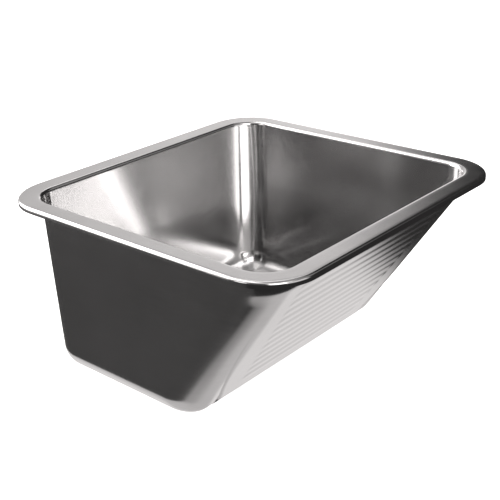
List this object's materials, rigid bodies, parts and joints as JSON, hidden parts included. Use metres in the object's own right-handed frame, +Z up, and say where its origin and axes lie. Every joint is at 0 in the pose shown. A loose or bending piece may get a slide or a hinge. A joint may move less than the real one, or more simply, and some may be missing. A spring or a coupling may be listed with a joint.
{
  "type": "laundry bowl",
  "caption": "Drop-in rectangular steel laundry bowl with a flat rolled-edge rim, a sloping ribbed washboard wall and a basket-strainer waste with stopper.",
  "frame": {"origin": "middle of the rim, in the plane of the worktop that the rim rests on", "axes": "+Z up, out of the bowl; X runs along the washboard wall; the washboard wall faces -Y and the upright back wall +Y"},
  "size_m": [0.5076, 0.4806, 0.3452],
  "materials": {
    "bowl_steel": "satin-brushed stainless steel",
    "waste_steel": "fine satin stainless steel",
    "screw_steel": "turned stainless steel",
    "nut_brass": "machined brass",
    "knob_chrome": "bright chrome",
    "seal_rubber": "matt black rubber",
    "seal_foam": "closed-cell foam",
    "nut_plastic": "moulded polypropylene, dark",
    "body_plastic": "moulded polypropylene"
  },
  "bodies": {
    "bowl_unit": {"bowl": "bowl_steel", "rim_seal": "seal_foam", "top_seal": "seal_rubber", "lower_gasket": "seal_rubber", "waste_dish": "waste_steel", "waste_body": "body_plastic", "centre_screw": "screw_steel", "screw_nut": "nut_brass", "tail_washer": "seal_rubber", "outlet_tail": "body_plastic", "union_nut": "nut_plastic"},
    "basket": {"strainer_basket": "waste_steel", "friction_ring": "seal_rubber"},
    "stopper": {"stopper_stem": "screw_steel", "stopper_knob": "knob_chrome", "stopper_seal": "seal_rubber", "stem_clip": "screw_steel"}
  },
  "joints": [
    {"name": "basket_lift", "type": "slide", "parent": "bowl_unit", "child": "basket", "axis": [0, 0, 1], "range_m": [0, 0.29]},
    {"name": "stopper_press", "type": "slide", "parent": "basket", "child": "stopper", "axis": [0, 0, 1], "range_m": [-0.0085, 0]}
  ]
}
